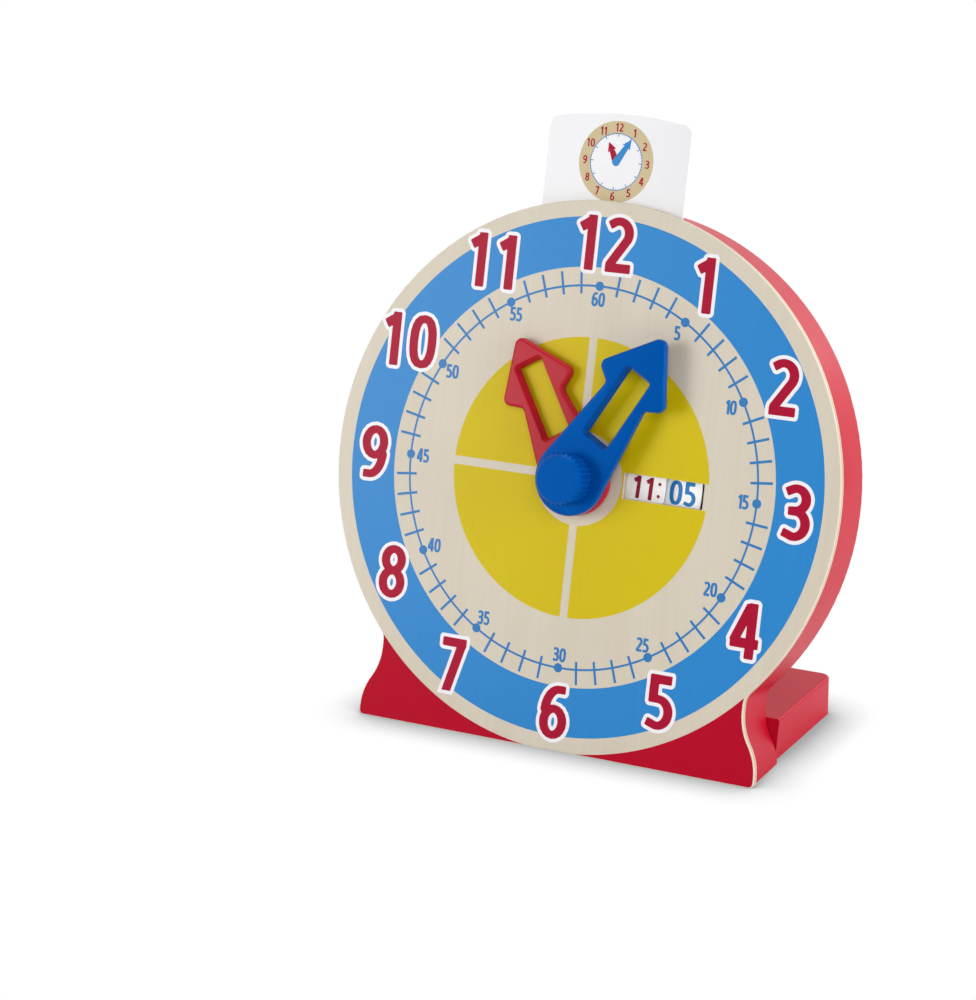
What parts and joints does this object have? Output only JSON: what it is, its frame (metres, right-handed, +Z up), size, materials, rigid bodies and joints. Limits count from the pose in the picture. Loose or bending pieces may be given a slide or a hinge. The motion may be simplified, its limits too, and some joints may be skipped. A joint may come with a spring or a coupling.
{
  "type": "teaching clock",
  "caption": "Leaning round teaching clock on a flared wooden foot: a knob turns geared arrow hands, a window shows the time in figures and a top slot holds a time card.",
  "frame": {"origin": "middle of the footprint on the table: half way between the front bottom edge of the dial panel and the rear of the foot", "axes": "+Z up, the dial faces -Y and leans back by 14 degrees, +X towards three o'clock"},
  "size_m": [0.29, 0.1189, 0.3238],
  "materials": {
    "birch_plywood": "printed and satin lacquered",
    "red_painted_wood": "satin paint",
    "beech": "bare, fluted",
    "hardboard": "smooth, bare",
    "zinc_steel": "zinc plated",
    "acetal": "moulded",
    "white_disc": "printed",
    "red_abs": "moulded, satin gloss",
    "blue_abs": "moulded, satin gloss",
    "laminated_card": "printed and laminated"
  },
  "bodies": {
    "case": {"front_panel": "birch_plywood", "case_frame": "red_painted_wood", "rear_foot": "red_painted_wood", "foot_dowels": "beech", "back_panel": "hardboard", "back_panel_screws": "zinc_steel", "centre_bush": "acetal", "gear_stud": "acetal", "gear_stud_screw": "zinc_steel", "rear_bearing": "acetal"},
    "minute": {"minute_hand": "blue_abs", "knob": "blue_abs", "minute_arbor": "zinc_steel", "hand_washer": "acetal", "cannon_pinion": "acetal", "minute_number_disc": "white_disc", "disc_collar": "acetal"},
    "hour": {"hour_hand": "red_abs", "hour_tube": "acetal", "hour_wheel": "acetal", "hour_number_disc": "white_disc"},
    "intermediate": {"intermediate_wheel": "acetal", "intermediate_pinion": "acetal"},
    "card": {"time_card": "laminated_card"}
  },
  "joints": [
    {"name": "minute_turn", "type": "hinge", "parent": "case", "child": "minute", "pos_m": [0, -0.02454, 0.14021], "axis": [0, 0.9703, -0.2419], "continuous": true},
    {"name": "hour_turn", "type": "hinge", "parent": "case", "child": "hour", "pos_m": [0, -0.02454, 0.14021], "axis": [0, 0.9703, -0.2419], "continuous": true},
    {"name": "intermediate_turn", "type": "hinge", "parent": "case", "child": "intermediate", "pos_m": [-0.05299, -0.02454, 0.14021], "axis": [0, 0.9703, -0.2419], "continuous": true},
    {"name": "card_lift", "type": "slide", "parent": "case", "child": "card", "axis": [0, 0.2419, 0.9703], "range_m": [0, 0.06]}
  ],
  "couplings": [
    {"joint": "hour_turn", "follows": "minute_turn", "ratio": 0.083333},
    {"joint": "intermediate_turn", "follows": "minute_turn", "ratio": -0.33333}
  ]
}
